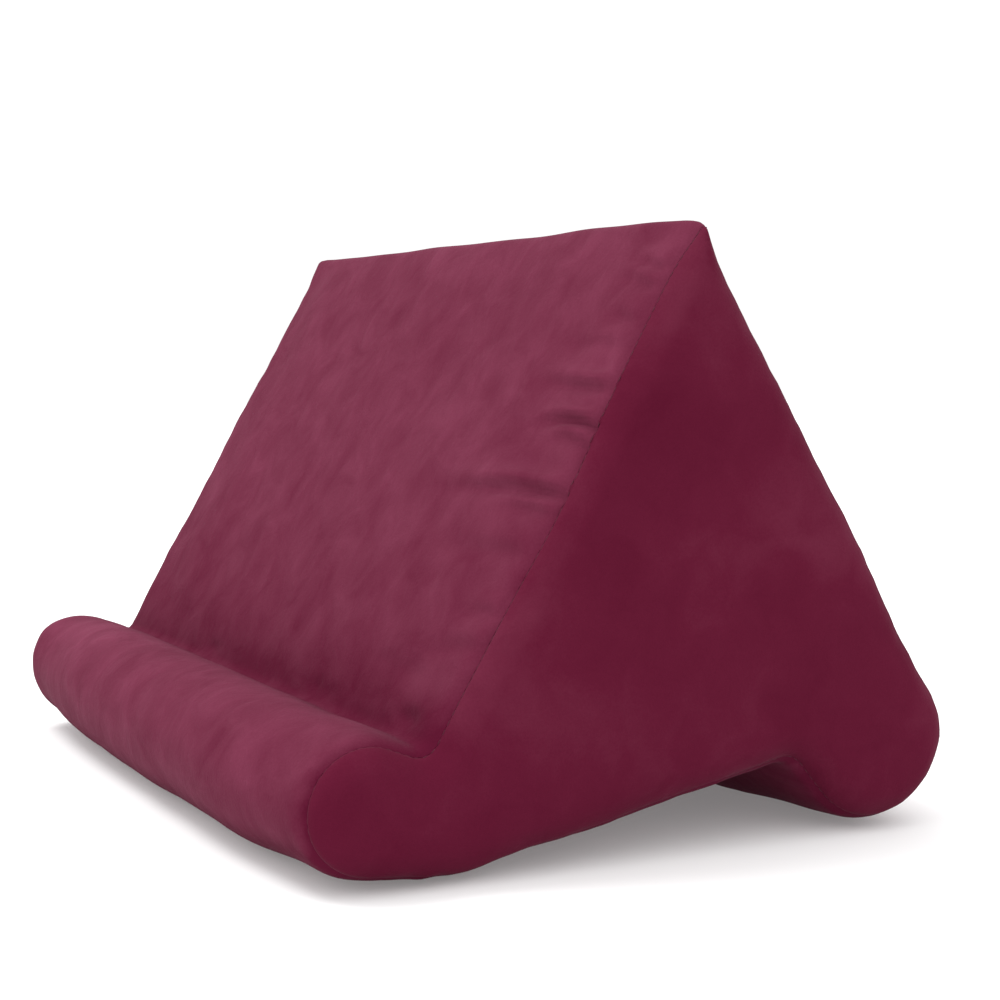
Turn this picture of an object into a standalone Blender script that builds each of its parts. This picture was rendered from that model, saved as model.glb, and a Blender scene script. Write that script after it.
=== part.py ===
"""Book rest pillow: a foam wedge with a front roll, a rear roll and an arched belly.

One wrap panel goes round the whole side outline and an end panel closes each end.
X is the width, Y runs from the front roll (-) to the back (+), Z is up and the floor is z = 0.
"""

import bmesh
import bpy
import numpy as np
from mathutils import Vector
from mathutils.geometry import delaunay_2d_cdt

MM = 0.001

# Width, millimetres
OVERALL_WIDTH = 300.0      # over the crowns of the two end panels
END_CROWN = 7.5            # how far the middle of an end panel stands out past its seam
END_MARGIN = 9.0           # width of the rounded margin of an end panel, inside its seam
END_CROWN_RUN = 16.0       # how quickly the rest of the crown rises from the seam
EDGE_RADIUS = 8.4          # rounding of the foam where the wrap turns over to the end seam
EDGE_TURN = np.radians(40.0)

# Cloth
PANEL_THICKNESS = 2.0      # millimetres, as is the next
SEAM_GAP = 0.3             # between the edge of an end panel and the wrap
CLOTH_COLOUR = (0.180, 0.032, 0.066)  # wine-red velour, linear
CLOTH_ROUGHNESS = 0.95

# The side outline is a belt round these rolls, in order, seen with the front to the left.
# A negative radius is a hollow. swell is how far the foam pushes the cloth out at mid-width.
ROLLS = (
    # name, y, z, radius, swell
    ("front_roll", -88.1, 23.1, 20.5, 3.7),
    ("belly", -62.2, 48.2, 46.7, 1.9),
    ("arch", 49.3, 18.3, -5.0, 1.7),
    ("rear_roll", 82.4, 28.5, 26.9, 3.0),
    ("ridge", 15.5, 182.6, 3.6, 0.0),
    ("valley", -71.9, 41.9, -3.1, -0.6),
)
SWELL_FULL_TO = 70.0       # half-width of the stretch that has the whole swell
SWELL_STATIONS = (126.0, 112.0, 97.0, 84.0, SWELL_FULL_TO)
OUTLINE_STEP = 8.0         # spacing of the points along the straight runs
ARC_STEP = np.radians(15.0)
PANEL_GRID = 9.0           # spacing of the points across an end
MARGIN_RINGS = (3.5, 9.0)  # rings of points along its rounded margin
MARGIN_STEP = 4.0          # least spacing of the points on those rings
EDGE_STATIONS = (1.0, 0.75, 0.5, 0.25)  # shares of the edge's turn, from the seam inwards

seam_x = OVERALL_WIDTH / 2 - END_CROWN
edge_start_x = seam_x - EDGE_RADIUS * np.sin(EDGE_TURN)

for old in list(bpy.data.objects):
    bpy.data.objects.remove(old)


def tangent_directions(centres, radii):
    """The outward direction of the straight run that leaves each roll for the next."""
    directions = []
    for here, there, r_here, r_there in zip(
        centres, np.roll(centres, -1, axis=0), radii, np.roll(radii, -1)
    ):
        reach = there - here
        length = np.linalg.norm(reach)
        along = reach / length
        outward = np.array([along[1], -along[0]])
        lean = (r_here - r_there) / length
        directions.append(lean * along + np.sqrt(1 - lean**2) * outward)
    return np.array(directions)


def side_outline():
    """Points of the outline (y, z), their outward directions, and the swell at each."""
    centres = np.array([roll[1:3] for roll in ROLLS])
    radii = np.array([roll[3] for roll in ROLLS])
    leaving = tangent_directions(centres, radii)
    points, normals, middles = [], [], []
    for i, (centre, radius) in enumerate(zip(centres, radii)):
        arriving = leaving[i - 1]
        start = np.arctan2(arriving[1], arriving[0])
        end = np.arctan2(leaving[i][1], leaving[i][0])
        turn = (end - start) % (2 * np.pi)
        if radius < 0:
            turn -= 2 * np.pi
        steps = max(4, 2 * int(np.ceil(abs(turn) / ARC_STEP / 2)))
        middles.append(len(points) + steps // 2)
        for angle in np.linspace(start, start + turn, steps + 1):
            direction = np.array([np.cos(angle), np.sin(angle)])
            points.append(centre + radius * direction)
            normals.append(direction)
        following = (i + 1) % len(ROLLS)
        run_start = centre + radius * leaving[i]
        run_end = centres[following] + radii[following] * leaving[i]
        pieces = int(np.linalg.norm(run_end - run_start) // OUTLINE_STEP) + 1
        for share in np.arange(1, pieces) / pieces:
            points.append(run_start + share * (run_end - run_start))
            normals.append(leaving[i])
    points = np.array(points)
    # The swell is stated at the middle of each roll and changes evenly from one to the next.
    lengths = np.linalg.norm(np.roll(points, -1, axis=0) - points, axis=1)
    along = np.concatenate([[0.0], np.cumsum(lengths)])
    swells = [roll[4] for roll in ROLLS]
    swell = np.interp(along[:-1], along[middles], swells, period=along[-1])
    return points, np.array(normals), swell


def smooth_step(low, high, value):
    share = np.clip((value - low) / (high - low), 0.0, 1.0)
    return share * share * (3 - 2 * share)


def wrap_rings(points, normals, swell):
    """The closed rings of the wrap panel from the right seam to the left one, as (x, points)."""
    half = []
    for share in EDGE_STATIONS:
        angle = share * EDGE_TURN
        drawn_in = np.full(len(points), EDGE_RADIUS * (1 - np.cos(angle)))
        half.append((edge_start_x + EDGE_RADIUS * np.sin(angle), -drawn_in))
    for x in (edge_start_x, *SWELL_STATIONS):
        half.append((x, swell * (1 - smooth_step(SWELL_FULL_TO, edge_start_x, x))))
    rings = []
    for x, offset in half + [(-x, offset) for x, offset in reversed(half)]:
        ring = points + normals * offset[:, None]
        ring[:, 1] = np.maximum(ring[:, 1], 0.0)  # the rolls sit flat on the floor
        rings.append((x, ring))
    return rings


def distance_to(outline, spots):
    """How far each spot is from the closed outline."""
    ends = np.roll(outline, -1, axis=0)
    edges = ends - outline
    nearest = np.full(len(spots), np.inf)
    for start, edge in zip(outline, edges):
        share = np.clip((spots - start) @ edge / (edge @ edge), 0.0, 1.0)
        gap = np.linalg.norm(spots - (start + share[:, None] * edge), axis=1)
        nearest = np.minimum(nearest, gap)
    return nearest


def inside(outline, spots):
    """Which spots the closed outline holds, by counting the edges to one side."""
    ends = np.roll(outline, -1, axis=0)
    held = np.zeros(len(spots), bool)
    for (y0, z0), (y1, z1) in zip(outline, ends):
        spans = (z0 > spots[:, 1]) != (z1 > spots[:, 1])
        if z0 != z1:
            cross_y = y0 + (spots[:, 1] - z0) * (y1 - y0) / (z1 - z0)
            held ^= spans & (spots[:, 0] < cross_y)
    return held


def margin_rings(seam, seam_normals):
    """Points along the rounded margin of an end, where the rings don't fold over."""
    kept = []
    for distance in MARGIN_RINGS:
        ring = seam - seam_normals * distance
        ring = ring[(distance_to(seam, ring) > 0.97 * distance) & inside(seam, ring)]
        for spot in ring:
            if all(np.linalg.norm(spot - other) > MARGIN_STEP * 0.6 for other in kept[-40:]):
                kept.append(spot)
    return np.array(kept)


def end_grid(seam, seam_normals):
    """The points across an end, clear of its seam: its margin's rings, then an even grid."""
    low, high = seam.min(axis=0), seam.max(axis=0)
    rows = np.arange(low[1], high[1], PANEL_GRID * np.sqrt(3) / 2)
    grid = []
    for i, z in enumerate(rows):
        shift = PANEL_GRID / 2 * (i % 2)
        grid += [(y, z) for y in np.arange(low[0] + shift, high[0], PANEL_GRID)]
    grid = np.array(grid)
    grid = grid[inside(seam, grid)]
    grid = grid[distance_to(seam, grid) > MARGIN_RINGS[-1] + PANEL_GRID / 2]
    return np.concatenate([margin_rings(seam, seam_normals), grid])


def filled_outline(outline, grid):
    """The outline and the grid inside it, as (points, triangles facing +X)."""
    given = np.concatenate([outline, grid])
    count = len(outline)
    rim = [(i, (i + 1) % count) for i in range(count)]
    _, _, triangles, origins, _, _ = delaunay_2d_cdt(
        [Vector(p) for p in given], rim, [list(range(count))], 1, 1e-6
    )
    given_index = [origin[0] for origin in origins]
    return given, [[given_index[i] for i in triangle] for triangle in triangles]


def crown(distance):
    """How far an end stands out past its seam: a rounded margin, then a slow rise."""
    radius = END_MARGIN / np.cos(EDGE_TURN)
    rounded = np.sqrt(radius**2 - np.maximum(END_MARGIN - distance, 0.0) ** 2)
    rounded -= radius * np.sin(EDGE_TURN)
    rest = END_CROWN - radius * (1 - np.sin(EDGE_TURN))
    return rounded + rest * (1 - np.exp(-distance / END_CROWN_RUN))


def cloth_object(name, points, faces):
    """A named mesh object from millimetre points, with its own velour material."""
    mesh = bpy.data.meshes.new(name)
    mesh.from_pydata([tuple(p * MM) for p in points], [], faces)
    work = bmesh.new()
    work.from_mesh(mesh)
    bmesh.ops.recalc_face_normals(work, faces=work.faces)
    bmesh.ops.triangulate(work, faces=work.faces)
    work.to_mesh(mesh)
    work.free()
    material = bpy.data.materials.new(name)
    material.use_nodes = True
    shader = material.node_tree.nodes["Principled BSDF"]
    shader.inputs["Base Color"].default_value = (*CLOTH_COLOUR, 1.0)
    shader.inputs["Roughness"].default_value = CLOTH_ROUGHNESS
    shader.inputs["Metallic"].default_value = 0.0
    mesh.materials.append(material)
    made = bpy.data.objects.new(name, mesh)
    bpy.context.collection.objects.link(made)
    return made


def at_x(x, spots):
    return np.column_stack([np.broadcast_to(x, len(spots)), spots])


def wrap_cushion(rings, grid):
    """The filled body: the rings, with each end set back behind its end panel."""
    count = len(rings[0][1])
    recess = PANEL_THICKNESS + SEAM_GAP
    first_x, first = rings[0]
    last_x, last = rings[-1]
    loops = [(first_x - recess, first)] + rings + [(last_x + recess, last)]
    points = np.concatenate([at_x(x, ring) for x, ring in loops])
    faces = []
    for k in range(len(loops) - 1):
        for i in range(count):
            j = (i + 1) % count
            near, far = k * count, (k + 1) * count
            faces.append((near + i, near + j, far + j, far + i))
    _, triangles = filled_outline(first, grid)
    rise = crown(distance_to(first, grid))
    for side, rim_start in ((1, 0), (-1, (len(loops) - 1) * count)):
        inner_start = len(points)
        points = np.concatenate([points, at_x(side * (seam_x - recess + rise), grid)])
        for triangle in triangles:
            corners = [
                rim_start + i if i < count else inner_start + i - count for i in triangle
            ]
            faces.append(corners if side > 0 else corners[::-1])
    return cloth_object("wrap_cushion", points, faces)


def end_panel(name, side, seam, seam_normals, grid):
    """One end panel: cloth cut a gap inside the seam and crowned by the foam behind it."""
    outline = seam - seam_normals * SEAM_GAP
    spots, triangles = filled_outline(outline, grid)
    rise = crown(distance_to(seam, spots))
    face = at_x(side * (seam_x + rise), spots)
    back = at_x(side * (seam_x + rise - PANEL_THICKNESS), spots)
    count, total = len(outline), len(spots)
    faces = [list(t) for t in triangles]
    faces += [[i + total for i in reversed(t)] for t in triangles]
    for i in range(count):
        j = (i + 1) % count
        faces.append([i, i + total, j + total, j])
    points = np.concatenate([face, back])
    return cloth_object(name, points, faces)


outline_points, outline_normals, outline_swell = side_outline()
all_rings = wrap_rings(outline_points, outline_normals, outline_swell)
seam_ring = all_rings[0][1]
inner_grid = end_grid(seam_ring, outline_normals)
wrap_cushion(all_rings, inner_grid)
end_panel("end_panel_right", 1, seam_ring, outline_normals, inner_grid)
end_panel("end_panel_left", -1, seam_ring, outline_normals, inner_grid)
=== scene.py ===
"""A book rest pillow: a foam wedge in a sewn velour cover.

X is the width, Y runs from the front roll (-) to the back (+), Z is up and the floor is z = 0.
Every piece keeps its place in its mesh.
"""

import math

import bmesh
import bpy
import numpy as np
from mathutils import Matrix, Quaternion, Vector
from mathutils.geometry import delaunay_2d_cdt


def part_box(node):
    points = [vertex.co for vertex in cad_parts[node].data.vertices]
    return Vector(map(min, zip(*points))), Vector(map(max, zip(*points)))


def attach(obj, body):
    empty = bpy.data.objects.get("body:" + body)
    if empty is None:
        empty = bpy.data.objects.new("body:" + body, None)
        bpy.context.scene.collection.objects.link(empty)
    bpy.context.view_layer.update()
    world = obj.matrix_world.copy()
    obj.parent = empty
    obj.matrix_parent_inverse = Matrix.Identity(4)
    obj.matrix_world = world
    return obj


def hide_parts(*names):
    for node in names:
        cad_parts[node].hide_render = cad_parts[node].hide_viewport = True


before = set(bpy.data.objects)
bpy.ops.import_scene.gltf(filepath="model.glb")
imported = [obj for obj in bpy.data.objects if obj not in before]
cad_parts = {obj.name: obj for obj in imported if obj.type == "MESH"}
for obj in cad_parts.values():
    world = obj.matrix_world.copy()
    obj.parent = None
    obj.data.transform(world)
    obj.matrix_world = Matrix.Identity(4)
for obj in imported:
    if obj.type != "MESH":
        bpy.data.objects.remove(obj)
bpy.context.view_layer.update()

# ---------------------------------------------------------------------------------------------
# The wrap cover, clothing the foam body.
# Upholstery foam cut to one side outline all along the width, in a single strip of short-pile
# velour pulled round it and sewn to an end panel at each end; it creases in from the seams.

MM = 0.001  # shapes are worked out in millimetres; meshes, materials and the room use metres

# The outline is a belt round these rolls, as the foam is cut.
ROLLS = (
    # name, y, z, radius, swell at mid-width; a negative radius is a hollow
    ("front_roll", -88.1, 23.1, 20.5, 3.7),
    ("belly", -62.2, 48.2, 46.7, 1.9),
    ("arch", 49.3, 18.3, -5.0, 1.7),
    ("rear_roll", 82.4, 28.5, 26.9, 3.0),
    ("ridge", 15.5, 182.6, 3.6, 0.0),
    ("valley", -71.9, 41.9, -3.1, -0.6),
)
END_CROWN = 7.5  # how far the middle of an end stands out past its seam
EDGE_RADIUS = 22.7  # the gentle rounding of the foam outside its seam
EDGE_TURN = math.radians(24.0)
EDGE_LENGTH = EDGE_RADIUS * EDGE_TURN
SWELL_FULL_TO = 70.0  # half-width of the stretch that has the whole swell
ARC_STEP = 2.0  # degrees between the outline's points on a roll
RUN_STEP = 2.0  # and millimetres between them on a straight run

seam_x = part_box("end_panel_right")[1].x / MM - END_CROWN
edge_start_x = seam_x - EDGE_RADIUS * math.sin(EDGE_TURN)
half_wrap = edge_start_x + EDGE_LENGTH  # along the cloth, from mid-width to a seam


def smooth_step(low, high, value):
    """0 below the low value, 1 above the high one, and smooth between them."""
    share = np.clip((value - low) / (high - low), 0.0, 1.0)
    return share * share * (3 - 2 * share)


def bell(value, width):
    """1 at nothing, falling away evenly on both sides over about this width."""
    return np.exp(-((value / width) ** 2))


def belt_round_rolls():
    """The outline as closely spaced points (y, z) with their outward directions and swell,
    the length along it at each point, and that length at the middle of each roll."""
    centres = np.array([roll[1:3] for roll in ROLLS])
    radii = np.array([roll[3] for roll in ROLLS])
    leaving = []
    for i, centre in enumerate(centres):
        j = (i + 1) % len(ROLLS)
        reach = centres[j] - centre
        length = np.linalg.norm(reach)
        forward = reach / length
        lean = (radii[i] - radii[j]) / length
        sideways = np.array([forward[1], -forward[0]])
        leaving.append(lean * forward + math.sqrt(1 - lean**2) * sideways)
    points, outward, middles = [], [], []
    for i, (centre, radius) in enumerate(zip(centres, radii)):
        start = math.atan2(*leaving[i - 1][::-1])
        turn = (math.atan2(*leaving[i][::-1]) - start) % (2 * math.pi)
        if radius < 0:
            turn -= 2 * math.pi
        steps = 2 * math.ceil(abs(math.degrees(turn)) / (2 * ARC_STEP))
        middles.append(len(points) + steps // 2)
        for angle in np.linspace(start, start + turn, steps + 1):
            direction = np.array([math.cos(angle), math.sin(angle)])
            points.append(centre + radius * direction)
            outward.append(direction)
        j = (i + 1) % len(ROLLS)
        run_start = centre + radius * leaving[i]
        run = centres[j] + radii[j] * leaving[i] - run_start
        pieces = max(1, round(np.linalg.norm(run) / RUN_STEP))
        for share in np.arange(1, pieces) / pieces:
            points.append(run_start + share * run)
            outward.append(leaving[i])
    points = np.array(points)
    lengths = np.linalg.norm(np.roll(points, -1, axis=0) - points, axis=1)
    along = np.concatenate([[0.0], np.cumsum(lengths)])
    marks = {roll[0]: along[middle] for roll, middle in zip(ROLLS, middles)}
    swell = np.interp(along, along[middles], [roll[4] for roll in ROLLS], period=along[-1])
    points = np.concatenate([points, points[:1]])
    outward = np.concatenate([outward, outward[:1]])
    return points, outward, swell, along, marks


belt, belt_out, belt_swell, belt_along, MARK = belt_round_rolls()
ROUND = belt_along[-1]  # the whole way round the outline


def on_belt(along):
    """Points, outward directions and swell at these lengths along the outline."""
    along = np.mod(along, ROUND)
    points = np.stack([np.interp(along, belt_along, belt[:, k]) for k in (0, 1)], axis=1)
    out = np.stack([np.interp(along, belt_along, belt_out[:, k]) for k in (0, 1)], axis=1)
    out /= np.linalg.norm(out, axis=1, keepdims=True)
    return points, out, np.interp(along, belt_along, belt_swell)


BEHIND_RIDGE = 12.0  # how far down the back slope the finer stations go on


def stations_along(fine, coarse):
    """Lengths along the outline: fine over the front roll and the reading slope."""
    fine_again = MARK["ridge"] - BEHIND_RIDGE
    stops = (
        (0.0, MARK["belly"], fine),
        (MARK["belly"], fine_again, coarse),
        (fine_again, ROUND, fine),
    )
    parts = []
    for start, end, step in stops:
        count = round((end - start) / step)
        parts.append(start + (end - start) * np.arange(count) / count)
    return np.concatenate(parts)


def stations_across(near_seam, fine, fine_to, coarse):
    """Places across the panel from the right seam (+) to the left one (-), each by how far
    the cloth runs from mid-width. They are closest together beside a seam."""
    from_seam = list(near_seam)
    while from_seam[-1] < half_wrap:
        step = fine if from_seam[-1] < fine_to else coarse
        from_seam.append(from_seam[-1] + step)
    right = half_wrap - np.array(from_seam[:-1])
    return np.concatenate([right, [0.0], -right[::-1]])


def foam_surface(along, across):
    """The side of the foam on a grid: points and outward directions, in millimetres."""
    yz, out, swell = on_belt(along)
    side, reach = np.sign(across), np.abs(across)
    turn = np.maximum(reach - edge_start_x, 0.0) / EDGE_RADIUS
    x = side * np.where(turn > 0, edge_start_x + EDGE_RADIUS * np.sin(turn), reach)
    full = 1 - smooth_step(SWELL_FULL_TO, edge_start_x, reach)
    drawn_in = EDGE_RADIUS * (1 - np.cos(turn))
    offset = swell[:, None] * full - drawn_in
    rows, columns = len(along), len(across)
    points = np.empty((rows, columns, 3))
    points[..., 0] = x
    points[..., 1:] = yz[:, None] + out[:, None] * offset[..., None]
    normals = np.empty_like(points)
    normals[..., 0] = side * np.sin(turn)
    normals[..., 1:] = out[:, None] * np.cos(turn)[:, None]
    return points, normals


def seam_outline(along):
    """The outline of an end at its seam, and its outward directions there."""
    yz, out, _ = on_belt(along)
    return yz - out * EDGE_RADIUS * (1 - math.cos(EDGE_TURN)), out


# Points spread over an end, closer near its seam, for closing the body and for its end panel.
SEAM_LINE_STEPS = 1200
RING_KEPT = 0.93  # a ring's point is kept unless it is nearer the seam than this share of its due
GRID_CLEAR = 0.6  # the room between the last ring and the even points, in grid steps


def nearest_seam(spots):
    """(distance to the seam, length along it of the nearest place) for each spot."""
    along = np.linspace(0, ROUND, SEAM_LINE_STEPS + 1)
    line, _ = seam_outline(along)
    run = line[1:] - line[:-1]
    best = np.full(len(spots), np.inf)
    place = np.zeros(len(spots))
    squared = np.einsum("ij,ij->i", run, run)
    for k in range(len(run)):
        share = np.clip((spots - line[k]) @ run[k] / squared[k], 0.0, 1.0)
        gap = np.linalg.norm(spots - (line[k] + share[:, None] * run[k]), axis=1)
        closer = gap < best
        best[closer] = gap[closer]
        place[closer] = (along[k] + share * (along[k + 1] - along[k]))[closer]
    return best, place


def inside_seam(spots):
    """Which spots the seam goes round, by counting the edges to one side."""
    line, _ = seam_outline(np.linspace(0, ROUND, SEAM_LINE_STEPS // 2 + 1))
    held = np.zeros(len(spots), bool)
    for (y0, z0), (y1, z1) in zip(line[:-1], line[1:]):
        spans = (z0 > spots[:, 1]) != (z1 > spots[:, 1])
        if z0 != z1:
            held ^= spans & (spots[:, 0] < y0 + (spots[:, 1] - z0) * (y1 - y0) / (z1 - z0))
    return held


def cut_end(along, rings, grid):
    """Points of an end panel and triangles facing +X. The first points are the rim."""
    rim, out = seam_outline(along)
    spots = [rim]
    for distance in rings:
        ring = rim - out * distance
        clear, _ = nearest_seam(ring)
        spots.append(ring[(clear > RING_KEPT * distance) & inside_seam(ring)])
    low, high = rim.min(axis=0), rim.max(axis=0)
    hexes = []
    for i, z in enumerate(np.arange(low[1], high[1], grid * math.sqrt(3) / 2)):
        shift = grid / 2 * (i % 2)
        hexes += [(y, z) for y in np.arange(low[0] + shift, high[0], grid)]
    hexes = np.array(hexes)
    hexes = hexes[inside_seam(hexes)]
    clear, _ = nearest_seam(hexes)
    last_ring = rings[-1] if rings else 0.0
    spots.append(hexes[clear > last_ring + GRID_CLEAR * grid])
    spots = np.concatenate(spots)
    count = len(rim)
    rim_edges = [(i, (i + 1) % count) for i in range(count)]
    inside_only, tolerance = 1, 1e-7
    _, _, triangles, origins, _, _ = delaunay_2d_cdt(
        [Vector(spot) for spot in spots], rim_edges, [list(range(count))], inside_only, tolerance
    )
    given = [origin[0] for origin in origins]
    return spots, [[given[i] for i in triangle] for triangle in triangles]


MARGIN_STEEP = 0.95  # the slope of an end's margin at its seam
MARGIN_FULL = 0.70  # and where the margin rolls over on to the flat of the end
MARGIN_EASES = 2.5  # how soon the first eases to the second
MARGIN_ROLLS_FROM, MARGIN_ROLLS_TO = 5.0, 10.0
FLAT_SLOPE, FLAT_RUN = 0.05, 16.0  # the slow rise after it, and how soon it fades
CROWN_REACH, CROWN_STEP = 160.0, 0.1

crown_from_seam = np.arange(0.0, CROWN_REACH, CROWN_STEP)
crown_slope = np.exp(-crown_from_seam / MARGIN_EASES)
crown_slope = MARGIN_FULL + (MARGIN_STEEP - MARGIN_FULL) * crown_slope
crown_slope *= 1 - smooth_step(MARGIN_ROLLS_FROM, MARGIN_ROLLS_TO, crown_from_seam)
crown_slope += FLAT_SLOPE * np.exp(-crown_from_seam / FLAT_RUN)
crown_rise = np.concatenate([[0.0], np.cumsum(crown_slope[:-1])])
crown_rise *= END_CROWN / crown_rise[-1]


def crown(distance):
    """How far an end stands out past its seam: a steep margin, then a slow rise."""
    return np.interp(distance, crown_from_seam, crown_rise)


# The cover is sewn a little long between its seams and a little tight along them, then filled:
# the foam holds it out evenly, and it settles into shallow hollows and swellings.
SETTLE_STEP = 5.0
SETTLE_NEAR_SEAM = (0.0, 2.4, 5.4)
SETTLE_FINE_TO = 30.0
SETTLE_FRAMES = 16
SETTLE_SPREAD = 6  # rounds of evening out
SETTLE_MOST = 1.6  # how far the cloth may leave the foam
HELD_BY_FOAM = 0.10
HELD_AT_SEAM = 0.9  # added at a seam, over this width
HELD_AT_SEAM_WIDTH = 3.0
HELD_AT_VALLEY_WIDTH = 10.0
ON_FLOOR_BELOW = 1.0  # what lies this low is pressed flat by the floor
GATHERED_WIDTH = 9.0
GATHERED_SHARE = 0.035  # how much a seam shortens the cloth
EASE_SHARE = 0.004  # how much longer the cloth is than the foam elsewhere

settle_along = stations_along(SETTLE_STEP, SETTLE_STEP)
settle_across = stations_across(SETTLE_NEAR_SEAM, SETTLE_STEP, SETTLE_FINE_TO, SETTLE_STEP)


def faces_round(rows, columns):
    """The faces of a panel that goes all the way round the outline."""
    faces = []
    for i in range(rows):
        below = (i + 1) % rows
        for j in range(columns - 1):
            start, end = i * columns + j, below * columns + j
            faces.append((start, start + 1, end + 1, end))
    return faces


def cover_to_settle():
    """The whole cover on the settling grid: points, faces, and the spots inside an end."""
    foam, _ = foam_surface(settle_along, settle_across)
    rows, columns = foam.shape[:2]
    spots, triangles = cut_end(settle_along, SETTLE_NEAR_SEAM[1:], SETTLE_STEP)
    inner = spots[rows:]
    distance, _ = nearest_seam(inner)
    points, faces = [foam.reshape(-1, 3)], faces_round(rows, columns)
    for side, column in ((1, 0), (-1, columns - 1)):
        first_inner = sum(len(part) for part in points)
        points.append(np.column_stack([side * (seam_x + crown(distance)), inner]))
        for triangle in triangles:
            corners = [
                i * columns + column if i < rows else first_inner + i - rows for i in triangle
            ]
            faces.append(corners if side > 0 else corners[::-1])
    return np.concatenate(points), faces, inner


def held_and_gathered(points):
    """How firmly the foam holds each point of the cover, and how far a seam gathers it."""
    rows, columns = len(settle_along), len(settle_across)
    from_seam = np.tile(half_wrap - np.abs(settle_across), rows)
    near_valley = bell(settle_along - MARK["valley"], HELD_AT_VALLEY_WIDTH)
    hold = np.full(len(points), HELD_BY_FOAM)
    wrap_hold = hold[: rows * columns]
    wrap_hold += HELD_AT_SEAM * bell(from_seam, HELD_AT_SEAM_WIDTH)
    hold[points[:, 2] < ON_FLOOR_BELOW] = 1.0
    np.maximum(wrap_hold, np.repeat(near_valley, columns), out=wrap_hold)
    tight = np.zeros(len(points))
    tight[: rows * columns] = bell(from_seam, GATHERED_WIDTH)
    return np.minimum(hold, 1.0), tight


def after_cloth(points, faces, hold, tight):
    """The cover's points once the filling has pressed it out for a few frames."""
    mesh = bpy.data.meshes.new("settling_cover")
    mesh.from_pydata((points * MM).tolist(), [], faces)
    mesh.validate()
    cover = bpy.data.objects.new("settling_cover", mesh)
    bpy.context.collection.objects.link(cover)
    held = cover.vertex_groups.new(name="held by the foam")
    gathered = cover.vertex_groups.new(name="gathered by the seam")
    for i in range(len(points)):
        held.add([i], float(hold[i]), "REPLACE")
        gathered.add([i], float(tight[i]), "REPLACE")

    cloth = cover.modifiers.new("Cloth", "CLOTH")
    settings = cloth.settings
    settings.quality = 6
    settings.mass = 0.25
    settings.tension_stiffness = 12
    settings.compression_stiffness = 12
    settings.shear_stiffness = 4
    settings.bending_stiffness = 0.6
    settings.air_damping = 2
    settings.vertex_group_mass = held.name
    settings.pin_stiffness = 1.0
    settings.vertex_group_shrink = gathered.name
    settings.shrink_min = -EASE_SHARE
    settings.shrink_max = GATHERED_SHARE
    settings.use_pressure = True
    settings.uniform_pressure_force = 4.0
    settings.effector_weights.gravity = 0.0
    cloth.collision_settings.use_collision = False
    cloth.collision_settings.use_self_collision = False
    cloth.point_cache.frame_start = 1
    cloth.point_cache.frame_end = SETTLE_FRAMES
    for step in range(1, SETTLE_FRAMES + 1):
        bpy.context.scene.frame_set(step)
    settled = cover.evaluated_get(bpy.context.evaluated_depsgraph_get())
    after = np.empty(len(points) * 3)
    settled.to_mesh().vertices.foreach_get("co", after)
    settled.to_mesh_clear()
    bpy.context.scene.frame_set(1)
    bpy.data.objects.remove(cover)
    bpy.data.meshes.remove(mesh)
    return after.reshape(-1, 3) / MM


def spread_by_foam(moved, faces):
    """The moves evened out and limited: foam is stiffer than cloth, and moves as a whole."""
    near = [set() for _ in moved]
    for face in faces:
        for k, corner in enumerate(face):
            near[corner].update((face[k - 1], face[(k + 1) % len(face)]))
    counts = np.array([len(around) for around in near])
    starts = np.repeat(np.arange(len(near)), counts)
    neighbours = np.concatenate([list(around) for around in near])
    share = 1 / counts[:, None]
    for _ in range(SETTLE_SPREAD):
        summed = np.zeros_like(moved)
        np.add.at(summed, starts, moved[neighbours])
        moved = 0.5 * moved + 0.5 * summed * share
    size = np.linalg.norm(moved, axis=1, keepdims=True)
    return moved * (SETTLE_MOST * np.tanh(size / SETTLE_MOST) / np.maximum(size, 1e-9))


def settle_cover():
    """How far the cover moves: on the settling grid, and at the spots inside each end."""
    points, faces, inner = cover_to_settle()
    hold, tight = held_and_gathered(points)
    moved = spread_by_foam(after_cloth(points, faces, hold, tight) - points, faces)
    rows, columns = len(settle_along), len(settle_across)
    count = rows * columns
    on_wrap, on_right, on_left = np.split(moved, [count, count + len(inner)])
    return on_wrap.reshape(rows, columns, 3), inner, on_right, on_left


settled_side, settled_spots, settled_right, settled_left = settle_cover()


def cubic_weights(places, stations, period=None):
    """For each place, four station indices and their smooth (Catmull-Rom) weights."""
    count = len(stations)
    steps = np.arange(-1, 3)
    if period:
        places = np.mod(places, period)
        low = np.clip(np.searchsorted(stations, places, side="right") - 1, 0, count - 1)
        gap = np.mod(stations[(low + 1) % count] - stations[low], period)
        indices = (low[:, None] + steps) % count
    else:
        low = np.clip(np.searchsorted(stations, places, side="right") - 1, 0, count - 2)
        gap = stations[low + 1] - stations[low]
        indices = np.clip(low[:, None] + steps, 0, count - 1)
    share = np.clip((places - stations[low]) / gap, 0.0, 1.0)
    s, s2, s3 = share, share**2, share**3
    weights = 0.5 * np.stack(
        [-s3 + 2 * s2 - s, 3 * s3 - 5 * s2 + 2, -3 * s3 + 4 * s2 + s, s3 - s2], axis=1
    )
    return indices, weights


def settled_on(along, across):
    """The settling of the cover, read smoothly on a finer grid."""
    rows, row_weights = cubic_weights(along, settle_along, ROUND)
    # The stations across run from right to left, so they are read backwards.
    columns, column_weights = cubic_weights(across, settle_across[::-1])
    grid = settled_side[:, ::-1]
    by_rows = np.einsum("nk,nkcx->ncx", row_weights, grid[rows])
    return np.einsum("mk,nmkx->nmx", column_weights, by_rows[:, columns])


END_BLUR = 0.9  # how widely an end's moves are averaged, in settling steps
END_STILL = 4.0  # the width beside a seam where an end hardly moves


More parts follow.
